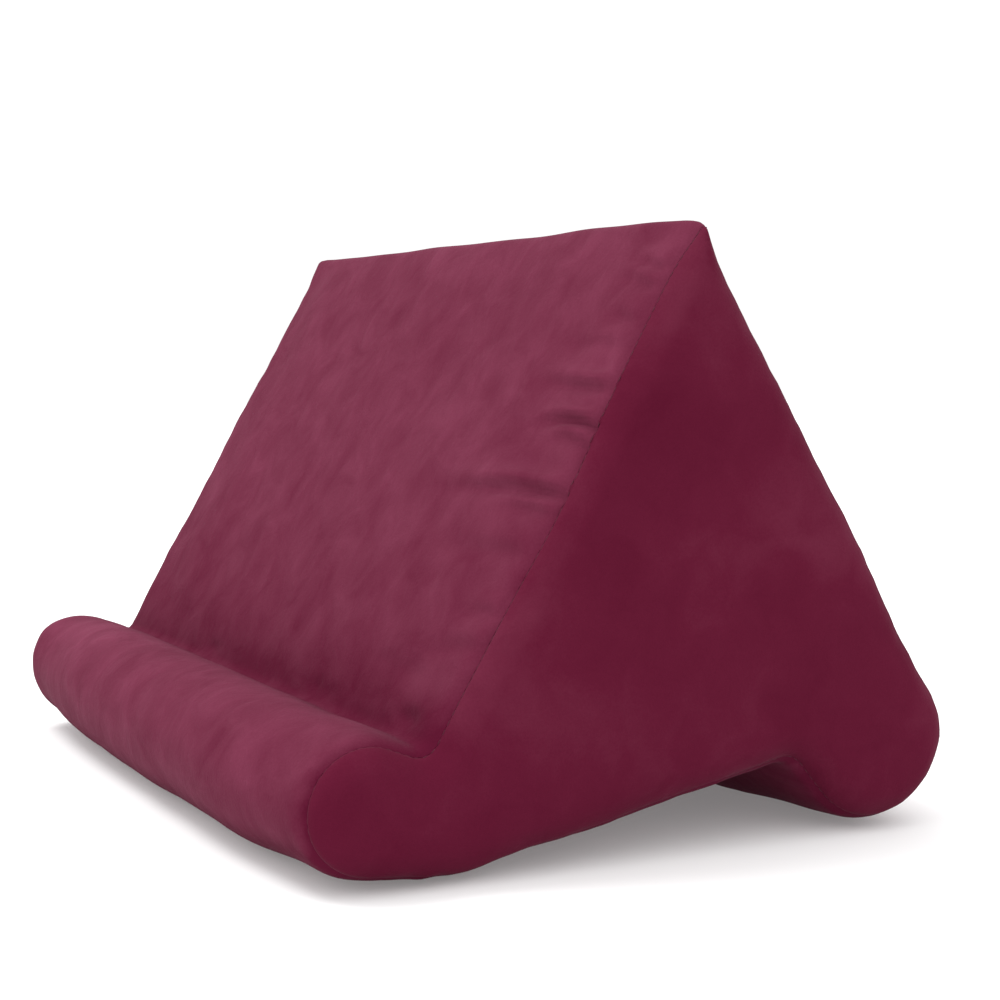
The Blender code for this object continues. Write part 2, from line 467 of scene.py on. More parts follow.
def settled_end(spots, distance, side):
    """The settling of an end panel at these spots, nothing at the seam itself."""
    moves = settled_right if side > 0 else settled_left
    gap = np.linalg.norm(spots[:, None] - settled_spots[None], axis=2)
    weights = bell(gap, END_BLUR * SETTLE_STEP) + 1e-12
    mean = weights @ moves / weights.sum(axis=1, keepdims=True)
    return mean * (1 - bell(distance, END_STILL))[:, None]


# The end seam is a plain lockstitch with both cloths turned inwards: a narrow groove, a soft
# roll on each side of it, and small gathers where the thread pulls.
GROOVE_DEPTH = 0.75
GROOVE_WIDTH_ON_WRAP = 2.3
GROOVE_WIDTH_ON_END = 1.1
GROOVE_UNEVEN = 0.25
GROOVE_AT_FRONT_ROLL = 0.6  # added depth where the seam turns tightly round the front roll
FRONT_ROLL_REACH = 42.0
ROLL_HEIGHT = 0.2
ROLL_FROM_SEAM = 3.8
ROLL_WIDTH = 2.2
ROLL_UNEVEN = 0.6
GATHER_DEPTH = 0.16
GATHER_REACH = 5.0
GATHER_ON_SLOPE = 0.30  # added beside the right of the slope, where the wrap is gathered most
GATHER_ON_SLOPE_AT, GATHER_ON_SLOPE_REACH = 95.0, 45.0
SEAM_REACH = 30.0  # nothing of the seam shows further from it than this
SEAM_WANDER = 0.5
SEAM_BOW = {1: 3.2, -1: 1.0}  # how far each seam bows out beside the slope
SEAM_BOW_AT = 78.0  # up the slope from the valley
SEAM_BOW_LENGTH = 27.0
SEAM_PULL = 12.0  # how far from the seam the cloth goes with it


def up_from_valley(along):
    """The length up the slope from the valley; it is negative over the front roll."""
    return np.mod(MARK["valley"] - along + ROUND / 2, ROUND) - ROUND / 2


def ripple(along, seed, lengths):
    """A smooth uneven wave round the outline, from about -1 to 1, made of waves of about
    these lengths, three of each."""
    random = np.random.default_rng(seed)
    wave = np.zeros_like(along)
    for length in lengths:
        for turns in random.integers(ROUND / length * 0.8, ROUND / length * 1.25 + 1, 3):
            wave += np.sin(2 * np.pi * (turns * along / ROUND + random.random()))
    return wave / math.sqrt(1.5 * len(lengths)) / 1.6


def seam_height(from_seam, along, side, groove_width):
    """How far the cloth beside a seam stands out (+) or is pulled in (-)."""
    past_roll = np.mod(along - MARK["front_roll"] + ROUND / 2, ROUND) - ROUND / 2
    depth = GROOVE_DEPTH + GROOVE_AT_FRONT_ROLL * bell(past_roll, FRONT_ROLL_REACH)
    width = groove_width * (1 + GROOVE_UNEVEN * ripple(along, 51 + side, (11.0, 17.0, 40.0)))
    groove = -depth * np.exp(-((from_seam / width) ** 1.5))
    roll = ROLL_HEIGHT * bell(from_seam - ROLL_FROM_SEAM, ROLL_WIDTH)
    roll = roll * (1 + ROLL_UNEVEN * ripple(along, 21 + side, (30.0, 55.0)))
    gathers = ripple(along, 31 + side, (9.0, 13.0, 19.0))
    past_most = up_from_valley(along) - GATHER_ON_SLOPE_AT
    on_slope = bell(past_most, GATHER_ON_SLOPE_REACH) if side > 0 else 0.0
    gathers = (GATHER_DEPTH + GATHER_ON_SLOPE * on_slope) * gathers
    gathers = gathers * np.exp(-from_seam / GATHER_REACH)
    gathers = gathers * smooth_step(0.0, 1.5, from_seam)
    return (groove + roll + gathers) * (from_seam < SEAM_REACH)


def seam_wander(along, side):
    """The seam line itself runs a little in and out, and bows out beside the slope."""
    bow = SEAM_BOW[side] * bell(up_from_valley(along) - SEAM_BOW_AT, SEAM_BOW_LENGTH)
    return SEAM_WANDER * ripple(along, 41 + side, (60.0, 110.0)) + bow


# Folds pressed into the velour of the reading slope, and small hollows in the foam behind it.
# A place is given from the right seam and up the slope from the valley.
CREASES = (
    # start, end, bow of the line (+ is uphill), depth, half-width, height of the fold above it
    ((2, 113.4), (44, 114.6), -0.5, 1.60, 1.6, 1.7),
    ((0, 101.6), (36, 98.0), 2.4, 2.00, 1.3, 1.8),
    ((0, 95.2), (23, 93.6), 2.0, 1.10, 1.3, 1.7),
    ((0, 79.6), (76, 74.5), 1.0, 2.00, 1.8, 2.0),
    ((2, 72.6), (32, 72.0), 1.0, 0.84, 1.5, 1.2),
    ((4, 60.0), (52, 56.0), 0.5, 0.96, 2.5, 0.8),
    ((3, 153.0), (24, 156.5), 0.5, 0.96, 1.5, 1.0),
    ((3, 146.5), (28, 150.5), 0.5, 0.96, 1.6, 1.2),
    ((4, 135.0), (22, 137.5), 0.5, 0.84, 1.7, 0.8),
    ((4, 127.0), (34, 125.5), 1.0, 0.72, 1.7, 0.7),
    ((2, 41.0), (22, 38.0), 1.0, 0.72, 1.8, 0.7),
    ((2, 31.0), (34, 24.0), 1.0, 0.72, 2.2, 0.4),
)
FOLD_ABOVE, FOLD_WIDTH = 1.9, 1.3  # the fold's place and width, in the trough's half-widths
CREASE_SPREADS = 0.6  # how much wider a crease is at its far end
DIMPLES = (
    # from the right seam, up the slope, depth, radius across, radius up and down
    (20.5, 6.0, 1.9, 6.5, 3.2),
    (88.0, 5.0, 0.8, 4.5, 2.5),
    (77.0, 4.5, 0.7, 4.0, 2.5),
    (186.0, 4.5, 0.9, 7.0, 2.5),
    (32.0, 18.7, 0.8, 7.0, 4.0),
    (50.0, 20.0, 0.4, 7.0, 3.0),
    (86.6, 127.0, 0.5, 4.0, 4.0),
    (52.0, 137.5, 0.4, 5.0, 6.0),
    (118.0, 134.5, 0.35, 10.0, 3.0),
    (28.0, 127.0, 0.5, 5.0, 3.6),
    (7.5, 121.8, 0.9, 5.0, 3.4),
    (3.5, 107.5, 0.6, 3.5, 3.0),
    (42.8, 46.3, 0.35, 3.0, 2.6),
    (59.3, 43.8, 0.30, 2.6, 2.6),
    (67.8, 44.9, 0.30, 2.6, 2.2),
    (5.4, 42.1, 0.40, 3.0, 2.4),
)
DIMPLES_CLEAR_SEAM = 9.0
SLOPE_STARTS = (-6.0, 0.0)  # creases fade in and out here, up from the valley
SLOPE_ENDS = (158.0, 168.0)


def crease_height(from_right, up_slope, creases):
    """The height of soft folds: a trough along each line with a fold of cloth uphill of it."""
    height = np.zeros(np.broadcast(from_right, up_slope).shape)
    for start, end, bow, depth, width, fold in creases:
        start, end = np.array(start, float), np.array(end, float)
        length = np.linalg.norm(end - start)
        forward = (end - start) / length
        uphill = np.array([-forward[1], forward[0]])
        if uphill[1] < 0:
            uphill = -uphill
        across, up = from_right - start[0], up_slope - start[1]
        share = (across * forward[0] + up * forward[1]) / length
        level = across * uphill[0] + up * uphill[1]
        level = level - 4 * bow * share * (1 - share)
        fade = smooth_step(-0.10, 0.12, share) * (1 - smooth_step(0.30, 1.05, share))
        spread = width * (1 + CREASE_SPREADS * np.clip(share, 0, 1))
        trough = -depth * bell(level, spread)
        ridge = fold * bell(level - FOLD_ABOVE * spread, FOLD_WIDTH * spread)
        height += fade * (trough + ridge)
    return height


def dimple_height(from_right, up_slope, dimples):
    """The depth of small soft hollows, below 0."""
    height = np.zeros(np.broadcast(from_right, up_slope).shape)
    for across, up, depth, wide, tall in dimples:
        height -= depth * bell(from_right - across, wide) * bell(up_slope - up, tall)
    return height


LUMP_HEIGHT = 0.5
LUMP_CLEAR_SEAM = 25.0  # the foam is even at a seam, and has its lumps from here inwards
FOAM_LUMPS = (90.0, 55.0, 32.0)
PILE_PATCHES = (46.0, 24.0, 13.0)
LUMP_STRENGTHS = (1.0, 0.8, 0.5)
LUMP_WAVES = 9  # for each size, in random directions
LUMP_SUM = 5.4  # about as far as all the waves go together


def lumps(points, seed, sizes):
    """Soft unevenness in three sizes, about -1 to 1."""
    random = np.random.default_rng(seed)
    height = np.zeros(points.shape[:-1])
    for size, strength in zip(sizes, LUMP_STRENGTHS):
        for _ in range(LUMP_WAVES):
            direction = random.normal(size=3)
            direction /= np.linalg.norm(direction)
            phase = random.random() * 2 * np.pi
            height += strength * np.sin(points @ direction * 2 * np.pi / size + phase)
    return height / LUMP_SUM


BULGES = (
    # Where the filling presses out or has given way: place, reach and move.
    ((-142, -104, 34), (30, 20, 24), (-1.5, -1.8, 2.0)),
    ((-142, -72, 42), (16, 8, 8), (0.0, 0.0, -1.4)),
    ((-142, 15, 184), (18, 8, 10), (-1.5, -0.5, 1.2)),
    ((142, 15, 184), (10, 8, 10), (1.0, 1.6, 0.0)),
    ((148, -66, 0), (16, 26, 8), (0.0, 0.0, -2.2)),
    ((148, -8, 10), (16, 26, 9), (0.0, 0.0, -1.3)),
    ((148, 55, 100), (16, 50, 60), (0.0, 1.1, 0.6)),
    ((148, 108, 30), (16, 16, 26), (0.0, 1.3, 0.0)),
)


def bulged(points):
    """The cover's points moved by the filling's swellings, and held off the floor."""
    moved = points.copy()
    for place, reach, move in BULGES:
        gap = (points - np.array(place, float)) / np.array(reach, float)
        moved += np.exp(-(gap**2).sum(axis=-1))[..., None] * np.array(move)
    moved[..., 2] = np.maximum(moved[..., 2], 0.0)
    return moved


CROWN_SOFTENED = 0.3  # the crown is averaged this share of the way to the seam
CROWN_AROUND = 6  # at this many spots in a ring


def end_surface(spots, side):
    """An end panel's outer face at these spots, and its outward directions, in millimetres."""
    distance, place = nearest_seam(spots)
    rise = crown(distance)
    for angle in np.arange(CROWN_AROUND) * 2 * math.pi / CROWN_AROUND:
        step = np.array([math.cos(angle), math.sin(angle)])
        rise += crown(nearest_seam(spots + CROWN_SOFTENED * distance[:, None] * step)[0])
    rise /= CROWN_AROUND + 1
    _, edge_out, _ = on_belt(place)
    slope = (crown(distance + CROWN_STEP / 2) - crown(distance)) / (CROWN_STEP / 2)
    out = np.column_stack([side * np.ones(len(spots)), edge_out * slope[:, None]])
    out /= np.linalg.norm(out, axis=1, keepdims=True)
    wander = seam_wander(place, side) * bell(distance, SEAM_PULL)
    points = np.column_stack([side * (seam_x + rise + wander), spots])
    points += settled_end(spots, distance, side)
    height = seam_height(distance, place, side, GROOVE_WIDTH_ON_END)
    lumpy = LUMP_HEIGHT * lumps(points, 9 + side, FOAM_LUMPS)
    height += lumpy * smooth_step(0.0, LUMP_CLEAR_SEAM, distance)
    return bulged(points + out * height[:, None]), out


def wrap_painted_light(from_seam, from_right, up_slope, out_z):
    """Painted light and shade on the wrap's pile: above 0 paler, painted light; below 0 darker,
    painted shade.
    """
    # Painted shade on the low part of the slope, in the valley and underneath.
    low_slope = 1 - smooth_step(12.0, 72.0, up_slope)
    tone_and_light = -0.20 * low_slope * smooth_step(-6.0, 3.0, up_slope)
    tone_and_light -= 0.22 * bell(up_slope - 3.0, 11.0)
    tone_and_light -= 0.9 * smooth_step(0.35, 0.9, -out_z)
    # Painted light on top of the front roll, most at its left end, and below the ridge.
    tone_and_light += 0.36 * bell(from_right - 245.0, 50.0) * bell(up_slope + 24.0, 13.0)
    tone_and_light += 0.07 * bell(from_right - 120.0, 90.0) * bell(up_slope + 22.0, 10.0)
    tone_and_light += 0.05 * bell(up_slope - 165.0, 14.0)
    # Painted shade in the seam's groove, more round the front roll.
    round_roll = bell(up_slope + 42.0, 34.0)
    return tone_and_light - (0.10 + 0.30 * round_roll) * bell(from_seam, 1.3 + 1.0 * round_roll)


def handling(from_right, up_slope):
    """How patchy the pile is from handling: most near the right seam and on the front roll."""
    return 0.4 + 0.6 * np.maximum(np.exp(-from_right / 50.0), bell(up_slope + 30.0, 26.0))


STEP_ROUND, STEP_ROUND_BEHIND = 1.35, 2.6  # the wrap's stations round the outline
STEP_ACROSS, STEP_ACROSS_INSIDE = 1.4, 2.6  # and across it, further from a seam than this
STEP_ACROSS_TO = 48.0
NEAR_SEAM = (0.0, 0.35, 0.75, 1.2, 1.75, 2.4, 3.2, 4.2, 5.4, 6.7, 8.1, 9.5)
PATCH_LIE_ON_WRAP = 0.13


def wrap_grid():
    """The stations round the wrap panel, and on its grid the finished outside and its pile tone,
    with painted light and shade.
    """
    along = stations_along(STEP_ROUND, STEP_ROUND_BEHIND)
    across = stations_across(NEAR_SEAM, STEP_ACROSS, STEP_ACROSS_TO, STEP_ACROSS_INSIDE)
    points, out = foam_surface(along, across)
    points = points + settled_on(along, across)
    place, from_right = np.meshgrid(along, half_wrap - across, indexing="ij")
    from_seam = half_wrap - np.abs(across) + 0 * place
    up_slope = up_from_valley(place)
    beside = {side: across * side > 0 for side in (1, -1)}
    height = LUMP_HEIGHT * lumps(points, 5, FOAM_LUMPS)
    height *= smooth_step(0.0, LUMP_CLEAR_SEAM, from_seam)
    for side, columns in beside.items():
        seam = seam_height(from_seam, place, side, GROOVE_WIDTH_ON_WRAP)
        height += np.where(columns, seam, 0.0)
    on_slope = smooth_step(*SLOPE_STARTS, up_slope) * (1 - smooth_step(*SLOPE_ENDS, up_slope))
    height += on_slope * crease_height(from_right, up_slope, CREASES)
    clear = smooth_step(0.0, DIMPLES_CLEAR_SEAM, from_seam)
    height += dimple_height(from_right, up_slope, DIMPLES) * clear
    points = points + out * height[..., None]
    for side, columns in beside.items():
        pull = seam_wander(along, side)[:, None] * bell(from_seam, SEAM_PULL)
        points[..., 0] += np.where(columns, side * pull, 0.0)
    points = bulged(points)
    # Painted light and painted shade, then random patches of pile tone on top.
    tone_and_light = wrap_painted_light(from_seam, from_right, up_slope, out[..., 2])
    patches = PATCH_LIE_ON_WRAP * lumps(points, 77, PILE_PATCHES)
    return along, points, tone_and_light + patches * handling(from_right, up_slope)


PANEL_THICKNESS = 2.0
END_GAP = 0.9  # between an end panel and the hidden end of the wrap behind it
HIDDEN_END_GRID = 8.0


def closed_wrap(along, points):
    """The wrap's grid closed at both ends, behind the end panels, as points and faces."""
    rows, columns = points.shape[:2]
    behind = PANEL_THICKNESS + END_GAP
    verts = [points.reshape(-1, 3)]
    faces = faces_round(rows, columns)
    spots, triangles = cut_end(along, (), HIDDEN_END_GRID)
    inner = spots[rows:]
    for side, column in ((1, 0), (-1, columns - 1)):
        # A short wall of cloth, the seam allowance, turns in from the seam to the hidden end.
        wall = points[:, column].copy()
        wall[:, 0] -= side * behind
        wall_start = sum(len(v) for v in verts)
        face, out = end_surface(inner, side)
        verts += [wall, face - out * behind]
        for i in range(rows):
            below = (i + 1) % rows
            a, b = i * columns + column, below * columns + column
            c, d = wall_start + below, wall_start + i
            faces.append((a, b, c, d) if side > 0 else (b, a, d, c))
        for triangle in triangles:
            corners = [wall_start + i for i in triangle]
            faces.append(corners if side > 0 else corners[::-1])
    return np.concatenate(verts), faces


def make_piece(name, points, faces, tone_and_light, material):
    """A smooth mesh object with its place in its mesh, facing outwards. The tone of its pile,
    with painted light and painted shade, is given for its first points and is even on the rest."""
    mesh = bpy.data.meshes.new(name)
    mesh.from_pydata((points * MM).tolist(), [], faces)
    # The pile tone carries random patches, painted light and painted shade to the shader.
    whole_tone_and_light = np.zeros(len(points))
    whole_tone_and_light[: tone_and_light.size] = tone_and_light.ravel()
    mesh.attributes.new("pile lie", "FLOAT", "POINT").data.foreach_set("value", whole_tone_and_light)
    work = bmesh.new()
    work.from_mesh(mesh)
    bmesh.ops.remove_doubles(work, verts=work.verts, dist=1e-6)
    bmesh.ops.recalc_face_normals(work, faces=work.faces)
    work.to_mesh(mesh)
    work.free()
    mesh.polygons.foreach_set("use_smooth", [True] * len(mesh.polygons))
    mesh.materials.append(material)
    piece = bpy.data.objects.new(name, mesh)
    bpy.context.collection.objects.link(piece)
    return piece


def add_socket(group, name, kind, value=None, way="INPUT"):
    socket = group.interface.new_socket(name, in_out=way, socket_type=f"NodeSocket{kind}")
    if value is not None:
        socket.default_value = value
    return socket


def wire(tree, *rows):
    """Links in a node tree. Each row is a node, its output, another node and its input."""
    for source, output, target, socket in rows:
        tree.links.new(source.outputs[output], target.inputs[socket])


NAP_RELIEF = {"grain": 0.00022, "streaks": 0.0005, "patches": 0.0009}  # metres, whole range
NAP_ROUGHNESS, WORN_SHINE = 0.92, 0.35  # where the pile is even, and how much wear smooths it
STREAK_WAY = (1.0, 0.38, 0.38)  # streaks are longer up the slope than across it


def velour_nap_group():
    """The pile's patches, brush streaks and grain, with the painted light and shade brought in: a
    colour, a roughness and a height.
    """
    group = bpy.data.node_groups.new("velour nap", "ShaderNodeTree")
    add_socket(group, "Place", "Vector")
    add_socket(group, "Lie", "Float", 0.0)
    add_socket(group, "Pile", "Color", (0.15, 0.015, 0.04, 1))
    add_socket(group, "Pile brushed up", "Color", (0.2, 0.03, 0.06, 1))
    add_socket(group, "Pile laid down", "Color", (0.1, 0.01, 0.03, 1))
    for name, value in (
        ("Patch size", 0.016),
        ("Streak size", 0.010),
        ("Grain size", 0.0007),
        ("Patch strength", 0.5),
        ("Streak strength", 0.3),
        ("Grain strength", 0.3),
    ):
        add_socket(group, name, "Float", value)
    add_socket(group, "Color", "Color", way="OUTPUT")
    add_socket(group, "Roughness", "Float", way="OUTPUT")
    add_socket(group, "Height", "Float", way="OUTPUT")
    nodes, links = group.nodes, group.links
    given = nodes.new("NodeGroupInput")
    result = nodes.new("NodeGroupOutput")

    def maths(operation, a, b, clamp=False):
        node = nodes.new("ShaderNodeMath")
        node.operation = operation
        node.use_clamp = clamp
        for socket, value in zip(node.inputs, (a, b)):
            if isinstance(value, (int, float)):
                socket.default_value = value
            else:
                links.new(value, socket)
        return node.outputs[0]

    def noise(size, place, detail, rough, twist=0.0):
        node = nodes.new("ShaderNodeTexNoise")
        node.inputs["Detail"].default_value = detail
        node.inputs["Roughness"].default_value = rough
        node.inputs["Distortion"].default_value = twist
        links.new(place, node.inputs["Vector"])
        links.new(maths("DIVIDE", 1.0, size), node.inputs["Scale"])
        return node.outputs["Fac"]

    def mix(share, a, b):
        node = nodes.new("ShaderNodeMix")
        node.data_type = "RGBA"
        links.new(share, node.inputs[0])
        links.new(a, node.inputs[6])
        links.new(b, node.inputs[7])
        return node.outputs[2]

    stretch = nodes.new("ShaderNodeMapping")
    stretch.inputs["Scale"].default_value = STREAK_WAY
    links.new(given.outputs["Place"], stretch.inputs["Vector"])
    patches = noise(given.outputs["Patch size"], given.outputs["Place"], 4.0, 0.55, 0.6)
    streaks = noise(given.outputs["Streak size"], stretch.outputs["Vector"], 5.0, 0.6, 0.8)
    grain = noise(given.outputs["Grain size"], given.outputs["Place"], 2.0, 0.6)

    lift = maths("MULTIPLY", maths("SUBTRACT", patches, 0.5), given.outputs["Patch strength"])
    brush = maths("MULTIPLY", maths("SUBTRACT", streaks, 0.5), given.outputs["Streak strength"])
    fleck = maths("MULTIPLY", maths("SUBTRACT", grain, 0.5), given.outputs["Grain strength"])
    nap = maths("ADD", maths("ADD", lift, brush), maths("ADD", fleck, given.outputs["Lie"]))
    # Above 0 the pile is paler, below 0 darker: random patches, and the painted light and painted
    # shade of the tone input.
    up = maths("MULTIPLY", nap, 2.0, clamp=True)
    down = maths("MULTIPLY", nap, -2.0, clamp=True)
    colour = mix(down, given.outputs["Pile"], given.outputs["Pile laid down"])
    colour = mix(up, colour, given.outputs["Pile brushed up"])
    links.new(colour, result.inputs["Color"])
    worn = maths("ADD", lift, fleck)
    rough = maths("SUBTRACT", NAP_ROUGHNESS, maths("MULTIPLY", worn, WORN_SHINE))
    links.new(rough, result.inputs["Roughness"])
    fine = maths("MULTIPLY", grain, NAP_RELIEF["grain"])
    relief = maths("ADD", fine, maths("MULTIPLY", streaks, NAP_RELIEF["streaks"]))
    relief = maths("ADD", relief, maths("MULTIPLY", patches, NAP_RELIEF["patches"]))
    links.new(relief, result.inputs["Height"])
    return group


def velour(name, pile, paler_and_painted_light, darker_and_painted_shade, patch_strength, streak_strength):
    """A velour in three depths of one colour, which follow its tone attribute: random patches,
    painted light and painted shade.
    """
    material = bpy.data.materials.new(name)
    material.use_nodes = True
    nodes = material.node_tree.nodes
    shader = nodes["Principled BSDF"]
    place = nodes.new("ShaderNodeTexCoord")
    tone_and_light = nodes.new("ShaderNodeAttribute")
    tone_and_light.attribute_name = "pile lie"
    nap = nodes.new("ShaderNodeGroup")
    nap.node_tree = velour_nap
    nap.inputs["Pile"].default_value = (*pile, 1.0)
    nap.inputs["Pile brushed up"].default_value = (*paler_and_painted_light, 1.0)
    nap.inputs["Pile laid down"].default_value = (*darker_and_painted_shade, 1.0)
    nap.inputs["Patch strength"].default_value = patch_strength
    nap.inputs["Streak strength"].default_value = streak_strength
    bump = nodes.new("ShaderNodeBump")
    bump.inputs["Strength"].default_value = 0.6
    bump.inputs["Distance"].default_value = 1.0
    wire(
        material.node_tree,
        (place, "Object", nap, "Place"),
        (tone_and_light, "Fac", nap, "Lie"),
        (nap, "Color", shader, "Base Color"),
        (nap, "Roughness", shader, "Roughness"),
        (nap, "Height", bump, "Height"),
        (bump, "Normal", shader, "Normal"),
    )
    shader.inputs["Specular IOR Level"].default_value = 0.02
    shader.inputs["Sheen Weight"].default_value = 0.035
    shader.inputs["Sheen Roughness"].default_value = 0.35
    shader.inputs["Sheen Tint"].default_value = (1.0, 0.92, 1.0, 1.0)
    return material


velour_nap = velour_nap_group()
# The wrap's pile colours are paler and greyer than the ends': painted sheen on the lit reading
# side.
wrap_velour_with_painted_sheen = velour(
    "wrap velour",
    pile=(0.121, 0.0188, 0.0415),
    paler_and_painted_light=(0.165, 0.0310, 0.0630),
    darker_and_painted_shade=(0.086, 0.0066, 0.0230),
    patch_strength=0.85,
    streak_strength=0.15,
)
wrap_along, wrap_points, wrap_pile_tone_and_light = wrap_grid()
wrap_body, wrap_faces = closed_wrap(wrap_along, wrap_points)
wrap_cover = make_piece("wrap_cover", wrap_body, wrap_faces, wrap_pile_tone_and_light, wrap_velour_with_painted_sheen)
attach(wrap_cover, "root")
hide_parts("wrap_cushion")

# ---------------------------------------------------------------------------------------------
# The end covers.
# One flat piece of the same velour for each end, cut to the side outline with its pile
# running across, and stretched over the foam by the seam all round, so its middle is crowned.
# Its colours are darker and more saturated than the wrap's: painted shade.

END_RINGS = (0.35, 0.75, 1.2, 1.75, 2.4, 3.2, 4.2, 5.4, 6.7, 8.1)
END_GRID = 3.0
MARGIN_PAINTED_LIGHT = 0.23  # painted light on the rounded margin, most beside the slope
MARGIN_PAINTED_LIGHT_ELSEWHERE = 0.1  # as a share of that
PATCH_LIE_ON_END = 0.2

# Darker, more saturated colours than the wrap's: painted shade on the ends, which face away from
# the lamp.
end_velour_in_painted_shade = velour(
    "end velour",
    pile=(0.094, 0.0078, 0.0245),
    paler_and_painted_light=(0.119, 0.0160, 0.0370),
    darker_and_painted_shade=(0.078, 0.0052, 0.0190),
    patch_strength=0.7,
    streak_strength=0.12,
)


def end_cover(name, side):
    """The piece and the area it is cut to. It is a closed sheet of cloth: the outer face,
    the same set back by its thickness, and a rim."""
    spots, triangles = cut_end(wrap_along, END_RINGS, END_GRID)
    face, out = end_surface(spots, side)
    count, rim = len(face), len(wrap_along)
    face[:rim] = wrap_points[:, 0 if side > 0 else -1]  # the seam that it shares with the wrap
    back = face - out * PANEL_THICKNESS
    distance, place = nearest_seam(spots)
    up_slope = up_from_valley(place)
    beside_slope = smooth_step(-4.0, 14.0, up_slope) * (1 - smooth_step(160.0, 180.0, up_slope))
    share = MARGIN_PAINTED_LIGHT_ELSEWHERE + (1 - MARGIN_PAINTED_LIGHT_ELSEWHERE) * beside_slope
    # Painted light on the rounded margin, most beside the slope; then random patches of pile
    # tone.
    tone_and_light = MARGIN_PAINTED_LIGHT * share * (1 - smooth_step(4.0, 9.0, distance))
    tone_and_light += PATCH_LIE_ON_END * lumps(face, 70 + side, FOAM_LUMPS)
    faces = [list(t) for t in triangles] + [[i + count for i in reversed(t)] for t in triangles]
    faces += [[i, i + count, (i + 1) % rim + count, (i + 1) % rim] for i in range(rim)]
    piece = make_piece(name, np.concatenate([face, back]), faces, tone_and_light, end_velour_in_painted_shade)
    triangles = np.array(triangles)
    a, b, c = (spots[triangles[:, k]] for k in range(3))
    doubled = (b - a)[:, 0] * (c - a)[:, 1] - (b - a)[:, 1] * (c - a)[:, 0]
    return piece, float(np.abs(doubled).sum() / 2)


seam_rim, seam_out = seam_outline(wrap_along)
for name, node, side in (
    ("end_cover_right", "end_panel_right", 1),
    ("end_cover_left", "end_panel_left", -1),
):
    cover, cut_area = end_cover(name, side)
    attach(cover, "root")
    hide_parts(node)

# ---------------------------------------------------------------------------------------------
# The seam thread.
# The lockstitch that joins the wrap to the end covers, in polyester thread dyed to match. It
# shows only as small dashes deep in the seam's groove.

STITCH_LENGTH = 2.1
STITCH_GAP = 0.8
THREAD_WIDTH = 0.36
THREAD_SUNK = 0.03  # below the edges of the cloths


def thread_finish():
    """Twisted, slightly glossy thread, darker than the pile beside it."""
    material = bpy.data.materials.new("seam thread")
    material.use_nodes = True
    nodes = material.node_tree.nodes
    shader = nodes["Principled BSDF"]
    place = nodes.new("ShaderNodeTexCoord")
    twist = nodes.new("ShaderNodeTexNoise")
    twist.inputs["Scale"].default_value = 2600.0
    twist.inputs["Detail"].default_value = 1.0
    shades = nodes.new("ShaderNodeMix")
    shades.data_type = "RGBA"
    shades.inputs[6].default_value = (0.062, 0.0048, 0.0160, 1)
    shades.inputs[7].default_value = (0.095, 0.0090, 0.0270, 1)
    bump = nodes.new("ShaderNodeBump")
    bump.inputs["Strength"].default_value = 0.5
    bump.inputs["Distance"].default_value = 0.0001
    wire(
        material.node_tree,
        (place, "Object", twist, "Vector"),
        (twist, "Fac", shades, 0),
        (shades, 2, shader, "Base Color"),
        (twist, "Fac", bump, "Height"),
        (bump, "Normal", shader, "Normal"),
    )
    shader.inputs["Roughness"].default_value = 0.6
    shader.inputs["Specular IOR Level"].default_value = 0.2
    return material


def stitch_tree():
    """Even dashes of thread along a line of edges."""
    tree = bpy.data.node_groups.new("lockstitch", "GeometryNodeTree")
    add_socket(tree, "Seam line", "Geometry")
    sizes = {
        "Stitch length": STITCH_LENGTH * MM,
        "Stitch gap": STITCH_GAP * MM,
        "Thread width": THREAD_WIDTH * MM,
    }
    sockets = {name: add_socket(tree, name, "Float").identifier for name in sizes}
    sockets["Thread"] = add_socket(tree, "Thread", "Material").identifier
    add_socket(tree, "Stitches", "Geometry", way="OUTPUT")
    nodes = tree.nodes
    given, result = nodes.new("NodeGroupInput"), nodes.new("NodeGroupOutput")
    line = nodes.new("GeometryNodeMeshToCurve")
    spaced = nodes.new("GeometryNodeResampleCurve")
    spaced.mode = "LENGTH"
    pitch = nodes.new("ShaderNodeMath")
    half_length, half_width = (nodes.new("ShaderNodeMath") for _ in range(2))
    for half in (half_length, half_width):
        half.operation = "MULTIPLY"
        half.inputs[1].default_value = 0.5
    dash = nodes.new("GeometryNodeMeshUVSphere")
    dash.inputs["Segments"].default_value = 6
    dash.inputs["Rings"].default_value = 5
    dash.inputs["Radius"].default_value = 1.0
    way = nodes.new("GeometryNodeInputTangent")
    facing = nodes.new("FunctionNodeAlignRotationToVector")
    facing.axis = "Z"
    size = nodes.new("ShaderNodeCombineXYZ")
    placed = nodes.new("GeometryNodeInstanceOnPoints")
    real = nodes.new("GeometryNodeRealizeInstances")
    finished = nodes.new("GeometryNodeSetMaterial")
    wire(
        tree,
        (given, "Seam line", line, "Mesh"),
        (line, "Curve", spaced, "Curve"),
        (given, "Stitch length", pitch, 0),
        (given, "Stitch gap", pitch, 1),
        (pitch, 0, spaced, "Length"),
        (given, "Stitch length", half_length, 0),
        (given, "Thread width", half_width, 0),
        (half_width, 0, size, "X"),
        (half_width, 0, size, "Y"),
        (half_length, 0, size, "Z"),
        (way, "Tangent", facing, "Vector"),
        (spaced, "Curve", placed, "Points"),
        (dash, "Mesh", placed, "Instance"),
        (facing, "Rotation", placed, "Rotation"),
        (size, "Vector", placed, "Scale"),
        (placed, "Instances", real, "Geometry"),
        (real, "Geometry", finished, "Geometry"),
        (given, "Thread", finished, "Material"),
        (finished, "Geometry", result, "Stitches"),
    )
    return tree, sockets, sizes


